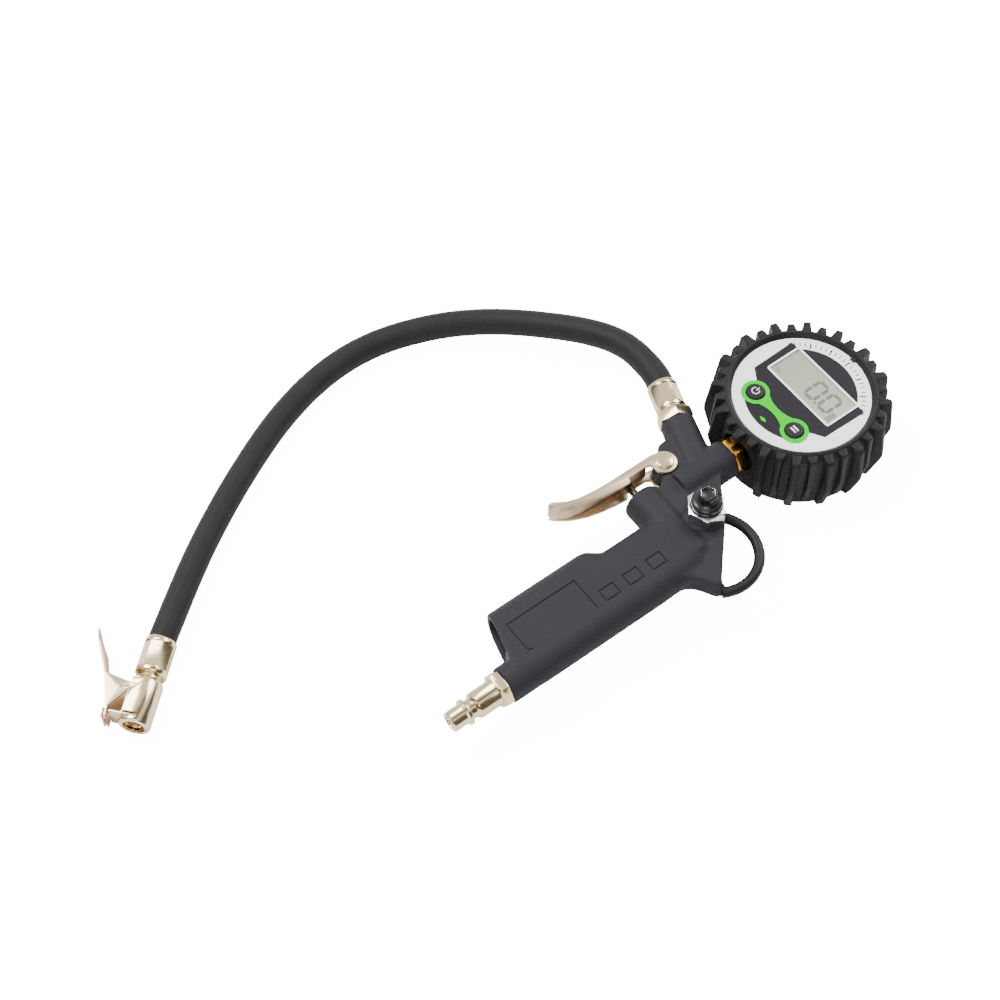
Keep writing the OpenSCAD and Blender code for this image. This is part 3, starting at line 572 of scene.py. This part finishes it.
@dataclass
class Hose:
    """The rubber hose, lying from the gun's ferrule to the chuck's, in millimetres."""

    radius: float = 6.9
    outlet: Point = (-64.0, 0.0, 25.0)
    outlet_angle: float = 70.0
    outlet_length: float = 57.0
    chuck: Point = (-355.0, 58.5, 8.25)
    chuck_angle: float = 41.5
    chuck_length: float = 46.2
    gap: float = 0.15
    lead: float = 1.65
    route: tuple[Point, ...] = (
        (-42.3, 61.5, 24.8),
        (-41.5, 70.0, 24.4),
        (-41.3, 78.0, 23.6),
        (-42.2, 86.5, 22.4),
        (-45.0, 96.3, 20.6),
        (-49.6, 106.0, 18.6),
        (-55.5, 115.6, 16.5),
        (-62.5, 125.3, 14.3),
        (-70.5, 135.2, 12.2),
        (-79.5, 144.6, 10.4),
        (-90.0, 153.2, 9.1),
        (-102.0, 160.8, 8.1),
        (-115.5, 167.0, 7.4),
        (-130.0, 171.6, 7.1),
        (-145.0, 174.0, 7.0),
        (-160.0, 174.0, 7.0),
        (-175.0, 171.9, 7.0),
        (-190.0, 168.0, 7.0),
        (-205.0, 162.6, 7.0),
        (-219.5, 156.0, 7.0),
        (-233.5, 148.8, 7.0),
        (-247.0, 141.3, 7.0),
        (-260.5, 133.2, 7.0),
        (-273.5, 124.8, 7.1),
        (-286.0, 116.0, 7.3),
        (-298.0, 106.9, 7.6),
        (-309.6, 97.8, 8.0),
    )

    def _ends(self, past: float) -> list[Point]:
        """Points in millimetres on the two ferrules' axes, a distance past their mouths."""
        made = []
        for (x, y, z), angle, length in (
            (self.outlet, self.outlet_angle, self.outlet_length),
            (self.chuck, self.chuck_angle, self.chuck_length),
        ):
            turn, reach = math.radians(angle), length + past
            made.append((x + reach * math.cos(turn), y + reach * math.sin(turn), z))
        return made

    def build(self, shop: Workshop) -> bpy.types.Object:
        start, end = self._ends(self.gap)
        near, far = self._ends(self.lead)
        points = [Vector(p) * MM for p in (start, near, *self.route, far, end)]
        curve = bpy.data.curves.new("rubber_hose", "CURVE")
        curve.dimensions = "3D"
        curve.bevel_depth = self.radius * MM
        curve.bevel_resolution = 7
        curve.resolution_u = 6
        curve.use_fill_caps = True
        spline = curve.splines.new("BEZIER")
        spline.bezier_points.add(len(points) - 1)
        for knot, point in zip(spline.bezier_points, points):
            knot.co = point
            knot.handle_left_type = knot.handle_right_type = "AUTO"
        hose = bpy.data.objects.new("rubber_hose", curve)
        bpy.context.scene.collection.objects.link(hose)
        shop.dress(hose, Slot.HOSE)
        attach(hose, Body.GUN.value)
        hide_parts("hose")
        return hose


def plain_object(name: str, bm: bmesh.types.BMesh) -> bpy.types.Object:
    """Makes an undressed object from a bmesh, for modifiers to work on, and frees the bmesh."""
    mesh = bpy.data.meshes.new(name)
    bm.to_mesh(mesh)
    bm.free()
    made = bpy.data.objects.new(name, mesh)
    bpy.context.scene.collection.objects.link(made)
    return made


def bake(obj: bpy.types.Object) -> None:
    """Turns an object's modifiers into plain mesh."""
    graph = bpy.context.evaluated_depsgraph_get()
    mesh = bpy.data.meshes.new_from_object(obj.evaluated_get(graph))
    obj.modifiers.clear()
    obj.data = mesh


def cut_away(obj: bpy.types.Object, tool: bmesh.types.BMesh) -> None:
    """Cuts a bmesh of closed bodies out of an object."""
    cutter = plain_object("cutter", tool)
    cut = obj.modifiers.new("cut", "BOOLEAN")
    cut.operation = "DIFFERENCE"
    cut.object = cutter
    cut.solver = "EXACT"
    cut.use_self = True
    bake(obj)
    bpy.data.objects.remove(cutter)


@dataclass
class GunCasting:
    """The gun's die casting, with cast fillets and engraved panels, in millimetres."""

    voxel: float = 0.66
    smoothing: int = 9
    web_smoothing: int = 40
    top: float = 34.5
    groove: float = 0.75
    depth: float = 0.55
    seat: float = 1.2
    margin: float = 1.0
    hook: float = 2.6
    web_x: tuple[float, float] = (-122.0, -84.0)
    web_y: tuple[float, float] = (-62.0, -20.0)
    boss: tuple[float, float] = (-79.3, -21.5)
    boss_r: float = 11.8
    panel: tuple[float, float, float, float] = (-193.5, -32.3, -153.2, -13.6)
    squares: tuple[float, ...] = (-143.8, -129.75, -115.7)
    square_y: float = -28.7
    square_l: float = 8.8
    square_w: float = 7.1

    def build(self, shop: Workshop) -> None:
        """Makes the casting and stands it in for its CAD node."""
        bm = shop.merged("gun_body")
        edge = self.margin
        for x0, y0, x1, y1 in (self.panel, *self._squares()):
            low = (x0 - edge, y0 - edge, self.top - self.seat)
            box(bm, low, (x1 + edge, y1 + edge, self.top))
        rough = plain_object("casting_blank", bm)
        self._remesh(rough)
        self._soften_web(rough)
        self._engrave(rough)
        bm = bmesh.new()
        bm.from_mesh(rough.data)
        bpy.data.objects.remove(rough)
        shop.finished("gun_casting", bm, Slot.CASTING, Body.GUN, ("gun_body",), 40.0)

    def _squares(self) -> list[tuple[float, float, float, float]]:
        """Outer corners of the three small frames."""
        half_l, half_w, y = self.square_l / 2, self.square_w / 2, self.square_y
        return [(x - half_l, y - half_w, x + half_l, y + half_w) for x in self.squares]

    def _remesh(self, obj: bpy.types.Object) -> None:
        """Blends all primitives into one skin and softens its corners."""
        remesh = obj.modifiers.new("skin", "REMESH")
        remesh.mode = "VOXEL"
        remesh.voxel_size = self.voxel * MM
        relax = obj.modifiers.new("relax", "SMOOTH")
        relax.factor = 0.5
        relax.iterations = self.smoothing
        bake(obj)

    def _soften_web(self, obj: bpy.types.Object) -> None:
        """Runs the tube and the boss into the web with wide fillets."""
        group = obj.vertex_groups.new(name="web")
        (x0, x1), (y0, y1), (boss_x, boss_y) = self.web_x, self.web_y, self.boss
        near = []
        for v in obj.data.vertices:
            x, y = v.co.x / MM, v.co.y / MM
            clear = math.hypot(x - boss_x, y - boss_y) > self.boss_r
            if x0 < x < x1 and y0 < y < y1 and clear:
                near.append(v.index)
        group.add(near, 1.0, "REPLACE")
        relax = obj.modifiers.new("fillet", "SMOOTH")
        relax.factor = 0.5
        relax.iterations = self.web_smoothing
        relax.vertex_group = group.name
        bake(obj)

    def _engrave(self, obj: bpy.types.Object) -> None:
        """Cuts the panel outlines into the grip's flat side."""
        bm = bmesh.new()
        line = self.groove
        x0, y0, x1, y1 = self.panel
        foot = y0 + 1.2
        strokes = [
            (x0, y1 - line, x1, y1), (x1 - line, y0, x1, y1), (x0, foot, x0 + line, y1),
            (x0, foot, x0 + self.hook, foot + line),
        ]
        for a, b, c, d in self._squares():
            strokes += [
                (a, d - line, c, d), (a, b, c, b + line), (a, b, a + line, d), (c - line, b, c, d)
            ]
        for a, b, c, d in strokes:
            box(bm, (a, b, self.top - self.depth), (c, d, self.top + 2.0))
        cut_away(obj, bm)


@dataclass
class Boot:
    """The rubber boot round the gauge, with treads that wrap over its shoulder, in millimetres."""

    wall: float = 40.5
    pairs: int = 16
    long_r: float = 46.8
    short_r: float = 43.8
    root_w: float = 4.9
    tip_w: float = 2.3
    top: float = 42.0
    stem_r: float = 10.4
    axis_z: float = 25.0
    edge: float = 0.4
    crease: float = 32.0
    profile: tuple[tuple[float, float], ...] = (
        (33.3, 0.0), (37.2, 0.0), (37.9, 0.3), (38.7, 1.5), (39.5, 3.2), (40.3, 4.9), (40.9, 12.0),
        (40.9, 30.0), (40.5, 36.5), (40.3, 38.0), (39.9, 38.9), (38.6, 41.3), (38.1, 42.0),
        (37.6, 42.4), (36.9, 42.5), (36.3, 42.3), (35.6, 41.4), (34.7, 40.4), (34.7, 40.1),
        (36.84, 40.1), (36.84, 1.7), (33.3, 1.7),
    )

    def build(self, shop: Workshop) -> None:
        """Makes the boot and stands it in for its CAD node."""
        bm = bmesh.new()
        turned(bm, [(r * MM, z * MM) for r, z in self.profile], 160)
        for index in range(2 * self.pairs):
            self._tread(bm, index)
        box(bm, (33.2, -1.3, 40.1), (35.4, 1.3, 41.1))
        stands_for = ("rubber_boot",)
        piece = shop.finished("treaded_boot", bm, Slot.BOOT, Body.GUN, stands_for, self.crease)
        self._stem_hole(piece)

    def _side(self, tip: float, whole: bool) -> list[tuple[float, float]]:
        """Outline of a tread from the side.

        Args:
            tip: radius of its widest part.
            whole: whether it runs to the foot, or stays a pad at the rim.

        Returns:
            (radius, height) points in millimetres.
        """
        root, rise = self.wall - 1.4, tip - self.wall
        upper = self.wall + rise * 0.67
        rim = [
            (upper, self.top - 1.6), (self.wall + rise * 0.48, self.top), (38.0, self.top),
            (38.0, self.top - 1.8),
        ]
        if not whole:
            return [(root, 36.6), (self.wall + rise * 0.4, 36.6), (upper, 38.6), *rim]
        low, lip = (2.6, 1.4) if tip == self.long_r else (6.5, 0.9)
        foot = [(root, low - 0.4), (self.wall + lip, low)]
        return [*foot, (tip, 19.5), (tip, 22.5), *rim, (root, 37.5)]

    def _tread(self, bm: bmesh.types.BMesh, index: int) -> None:
        """Adds one tread bar with drafted, rounded sides."""
        tip = self.short_r if index % 2 else self.long_r
        root = self.wall - 1.4
        side = self._side(tip, abs(index - self.pairs) > 1)
        bar = bmesh.new()
        raised(bar, [(r * MM, -0.5 * MM, z * MM) for r, z in side], (0.0, 1.0 * MM, 0.0))
        for v in bar.verts:
            share = (v.co.x / MM - root) / (tip - root)
            v.co.y *= self.root_w + (self.tip_w - self.root_w) * share
        keep = [
            e for e in bar.edges
            if max(v.co.x for v in e.verts) > (self.wall - 0.2) * MM
            or min(v.co.z for v in e.verts) > (self.top - 0.1) * MM
        ]
        round_off(bar, keep, self.edge * MM)
        bmesh.ops.recalc_face_normals(bar, faces=bar.faces)
        mesh = bpy.data.meshes.new("tread")
        bar.to_mesh(mesh)
        bar.free()
        mesh.transform(Matrix.Rotation(math.pi * index / self.pairs, 4, "Z"))
        bm.from_mesh(mesh)
        bpy.data.meshes.remove(mesh)

    def _stem_hole(self, piece: bpy.types.Object) -> None:
        """Cuts the round hole that the gauge's stem passes through."""
        bm = bmesh.new()
        place = Matrix.Translation((-45 * MM, 0, self.axis_z * MM))
        bmesh.ops.create_cone(
            bm,
            cap_ends=True,
            segments=72,
            radius1=self.stem_r * MM,
            radius2=self.stem_r * MM,
            depth=22 * MM,
            matrix=place @ Matrix.Rotation(math.pi / 2, 4, "Y"),
        )
        cut_away(piece, bm)
        piece.data.set_sharp_from_angle(angle=math.radians(self.crease))


@dataclass
class DialPrint:
    """Print on the dial: tick marks, display segments and key symbols, in millimetres."""

    face_z: float = 40.0
    lcd_x: float = 7.3
    lcd_top: float = 39.8
    digits: tuple[float, ...] = (-2.9, -12.6)
    digit_h: float = 11.0
    digit_w: float = 6.2
    stroke: float = 1.75
    thick: float = 0.06
    ticks: int = 25
    tick_outer: float = 31.8
    key_x: float = -17.6
    key_y: float = 14.45
    key_top: float = 41.7

    def build(self, shop: Workshop) -> None:
        """Makes all the print."""
        self._ticks(shop)
        self._segments(shop)
        self._symbols(shop)
        self._leaf(shop)

    def _bar(
        self, bm: bmesh.types.BMesh, a: tuple[float, float], b: tuple[float, float],
        width: float, z: float, point: float = 0.5,
    ) -> None:
        """Adds one flat bar with pointed ends.

        Args:
            bm: the mesh it is added to.
            a: its start in millimetres.
            b: its end in millimetres.
            width: its width in millimetres.
            z: the height of its underside in millimetres.
            point: length of its points as a share of its width.
        """
        start, end = Vector((*a, z)), Vector((*b, z))
        along = (end - start).normalized()
        side = Vector((-along.y, along.x, 0)) * width / 2
        tip = along * width * point
        outline = [
            start, start + tip + side, end - tip + side, end, end - tip - side, start + tip - side
        ]
        if point == 0:
            outline = [start + side, end + side, end - side, start - side]
        raised(bm, [p * MM for p in outline], (0.0, 0.0, self.thick * MM))

    def _ticks(self, shop: Workshop) -> None:
        """Rings the upper half of the dial with plain tick marks."""
        bm = bmesh.new()
        for index in range(self.ticks):
            angle = math.radians(-60 + 5 * index)
            inner, width = (29.6, 0.45) if index % 4 else (28.6, 0.7)
            a, b = ((r * math.cos(angle), r * math.sin(angle)) for r in (inner, self.tick_outer))
            self._bar(bm, a, b, width, self.face_z, 0)
        shop.finished("dial_ticks", bm, Slot.DIAL_CHARCOAL, Body.GUN)

    def _segments(self, shop: Workshop) -> None:
        """Shows a zero reading on the display, with a row of cell bars."""
        bm = bmesh.new()
        half_h, half_w, z = self.digit_h / 2, self.digit_w / 2, self.lcd_top
        gap = 0.25
        for centre in self.digits:
            for dy in (-half_w, half_w):
                for low, high in ((-half_h, 0.0), (0.0, half_h)):
                    self._bar(
                        bm, (self.lcd_x + low + gap, centre + dy),
                        (self.lcd_x + high - gap, centre + dy), self.stroke, z,
                    )
            for dx in (-half_h, half_h):
                self._bar(
                    bm, (self.lcd_x + dx, centre - half_w + gap),
                    (self.lcd_x + dx, centre + half_w - gap), self.stroke, z,
                )
        middle = sum(self.digits) / 2
        foot = self.lcd_x - half_h
        self._bar(bm, (foot - 0.6, middle), (foot + 0.6, middle), 1.2, z, 0)
        for index in range(4):
            x = self.lcd_x - 7.5 + 1.5 * index
            self._bar(bm, (x, -17.4), (x, -20.4), 0.9, z, 0)
        for index in range(3):
            y = 19.6 - 1.3 * index
            self._bar(bm, (self.lcd_x - 7.6, y), (self.lcd_x - 5.8, y), 0.5, z, 0)
        shop.finished("lcd_segments", bm, Slot.SWITCH, Body.GUN)

    def _symbols(self, shop: Workshop) -> None:
        """Puts a power mark on one key and two bars on the other."""
        bm = bmesh.new()
        z, x, y = self.key_top, self.key_x, self.key_y
        steps, radius = 14, 1.9
        angles = [math.radians(40 + 280 * index / steps) for index in range(steps + 1)]
        arc = [(x + radius * math.cos(a), y + radius * math.sin(a)) for a in angles]
        for a, b in zip(arc, arc[1:]):
            self._bar(bm, a, b, 0.45, z, 0)
        self._bar(bm, (x + 0.5, y), (x + 2.6, y), 0.5, z, 0)
        shop.finished("on_key_mark", bm, Slot.DIAL_WHITE, Body.ON_KEY)
        bm = bmesh.new()
        for dx in (-0.9, 0.9):
            self._bar(bm, (x + dx, -y - 1.9), (x + dx, -y + 1.9), 0.75, z, 0)
        shop.finished("unit_key_mark", bm, Slot.DIAL_WHITE, Body.UNIT_KEY)

    def _leaf(self, shop: Workshop) -> None:
        """Puts the small green lozenge below the keys."""
        bm = bmesh.new()
        self._bar(bm, (-25.2, -2.3), (-25.2, 2.3), 1.9, self.face_z + 0.15, 1.0)
        shop.finished("green_lozenge", bm, Slot.DIAL_GREEN, Body.GUN)


@dataclass
class Hardware:
    """Hard parts with their edges broken, each by its own width in millimetres."""

    parts: tuple[tuple[str, Slot, Body, float], ...] = (
        ("inlet_plug", Slot.NICKEL, Body.GUN, 0.18),
        ("hose_fitting", Slot.NICKEL, Body.GUN, 0.15),
        ("gun_ferrule", Slot.NICKEL, Body.GUN, 0.15),
        ("chuck_ferrule", Slot.NICKEL, Body.GUN, 0.15),
        ("chuck_body", Slot.NICKEL, Body.GUN, 0.15),
        ("clip_lever", Slot.LEVER, Body.CLIP, 0.12),
        ("clip_jaw", Slot.LEVER, Body.JAW, 0.12),
        ("trigger_lever", Slot.LEVER, Body.TRIGGER, 0.12),
        ("trigger_pin", Slot.NICKEL, Body.GUN, 0.12),
        ("bleed_nut", Slot.CHROME, Body.GUN, 0.15),
        ("bleed_knob", Slot.KNOB, Body.BLEED, 0.15),
        ("bleed_screw", Slot.CHROME, Body.BLEED, 0.1),
        ("gauge_stem", Slot.BRASS, Body.GUN, 0.2),
    )

    def build(self, shop: Workshop) -> None:
        """Makes every part."""
        for node, slot, body, width in self.parts:
            shop.broken_edges(node, slot, body, width * MM)

    @staticmethod
    def on_the_hose() -> list[str]:
        """Names of the pieces on the hose's far end."""
        made = ["chuck_ferrule", "chuck_body", "clip_lever", "clip_jaw"]
        kept = ["chuck_seal", "chuck_pin", "chuck_spring", "clip_pin", "clip_spring", "hose_ends"]
        return [f"{name}_rounded" for name in made] + kept


# ---------------------------------------------------------------- studio


@dataclass
class Studio:
    """Pale floor, soft lights and the camera."""

    eye: Point = (-0.48419, -0.39516, 0.88838)
    elevation: float = 57.29
    azimuth: float = -37.0
    lens: float = 75.98
    aim: Point = (-0.12, 0.04, 0.02)
    across: Point = (0.15, 0.80, 0.58)
    strips: tuple[tuple[float, float], ...] = (
        (0.0, 0.10), (0.10, 1.0), (0.30, 1.0), (0.42, 0.12), (0.56, 0.12), (0.68, 1.0),
    )

    def place_camera(self) -> None:
        """Makes the scene's camera."""
        data = bpy.data.cameras.new("camera")
        data.lens = self.lens
        data.sensor_width = 36.0
        data.clip_start = 0.01
        camera = bpy.data.objects.new("camera", data)
        camera.location = self.eye
        camera.rotation_euler = (
            math.radians(90.0 - self.elevation),
            0.0,
            math.radians(self.azimuth),
        )
        bpy.context.scene.collection.objects.link(camera)
        bpy.context.scene.camera = camera

    def lay_floor(self) -> None:
        """Makes a wide, plain, pale floor."""
        bm = bmesh.new()
        bmesh.ops.create_grid(bm, x_segments=1, y_segments=1, size=6.0)
        mesh = bpy.data.meshes.new("floor")
        bm.to_mesh(mesh)
        bm.free()
        floor = bpy.data.objects.new("floor", mesh)
        floor.location = (0.0, 0.0, -0.0002)
        bpy.context.scene.collection.objects.link(floor)
        bench = Bench("floor_paper")
        seen = bench.node("ShaderNodeLightPath", {}, {}, "Is Camera Ray")
        bench.set(
            Base_Color=(0.93, 0.93, 0.93),
            Roughness=0.9,
            Specular_IOR_Level=0.1,
            Emission_Color=bench.tint(seen, (0.0, 0.0, 0.0), (1.0, 1.0, 1.0)),
            Emission_Strength=14.0,
        )
        floor.data.materials.append(bench.material)

    def light(self) -> None:
        """Hangs three soft boxes in a pale room with two dark strips for the metal to show."""
        self._paint_room()
        self._soft_box("key", (-0.55, 0.75, 1.3), 0.9, 33.0)
        self._soft_box("fill", (-0.9, -0.8, 1.0), 0.8, 11.0)
        self._soft_box("rim", (0.9, 0.1, 0.9), 0.7, 15.0)

    def _paint_room(self) -> None:
        """Gives the world its light walls and dark strips, across the strips' own direction."""
        world = bpy.data.worlds.new("room")
        world.use_nodes = True
        tree = world.node_tree
        back = tree.nodes["Background"]
        back.inputs["Strength"].default_value = 1.3
        where = tree.nodes.new("ShaderNodeTexCoord")
        height = tree.nodes.new("ShaderNodeVectorMath")
        height.operation = "DOT_PRODUCT"
        height.inputs[1].default_value = self.across
        ramp = tree.nodes.new("ShaderNodeValToRGB")
        while len(ramp.color_ramp.elements) < len(self.strips):
            ramp.color_ramp.elements.new(0.5)
        for element, (place, grey) in zip(ramp.color_ramp.elements, self.strips):
            element.position = place
            element.color = (grey, grey * 0.99, grey * 0.98, 1.0)
        tree.links.new(where.outputs["Generated"], height.inputs[0])
        tree.links.new(height.outputs["Value"], ramp.inputs[0])
        tree.links.new(ramp.outputs[0], back.inputs["Color"])
        bpy.context.scene.world = world

    def _soft_box(self, name: str, place: Point, size: float, power: float) -> None:
        """Adds one square area light that looks at the object's middle."""
        data = bpy.data.lights.new(name, "AREA")
        data.size = size
        data.energy = power
        lamp = bpy.data.objects.new(name, data)
        lamp.location = place
        aim = Vector(self.aim) - Vector(place)
        lamp.rotation_euler = aim.to_track_quat("-Z", "Y").to_euler()
        bpy.context.scene.collection.objects.link(lamp)


def main() -> None:
    """Builds the whole scene."""
    logging.basicConfig(level=logging.INFO, format="%(relativeCreated)6.0f ms  %(message)s")
    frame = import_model()
    studio = Studio()
    studio.place_camera()
    shop = Workshop(frame)
    shop.mix_finishes()
    shop.dress_frame()
    hose = Hose()
    tube = hose.build(shop)
    Hardware().build(shop)
    Hardware.on_the_hose()
    for assembly in (GunCasting(), Boot(), DialPrint()):
        assembly.build(shop)
    studio.lay_floor()
    studio.light()


if __name__ == "__main__":
    main()
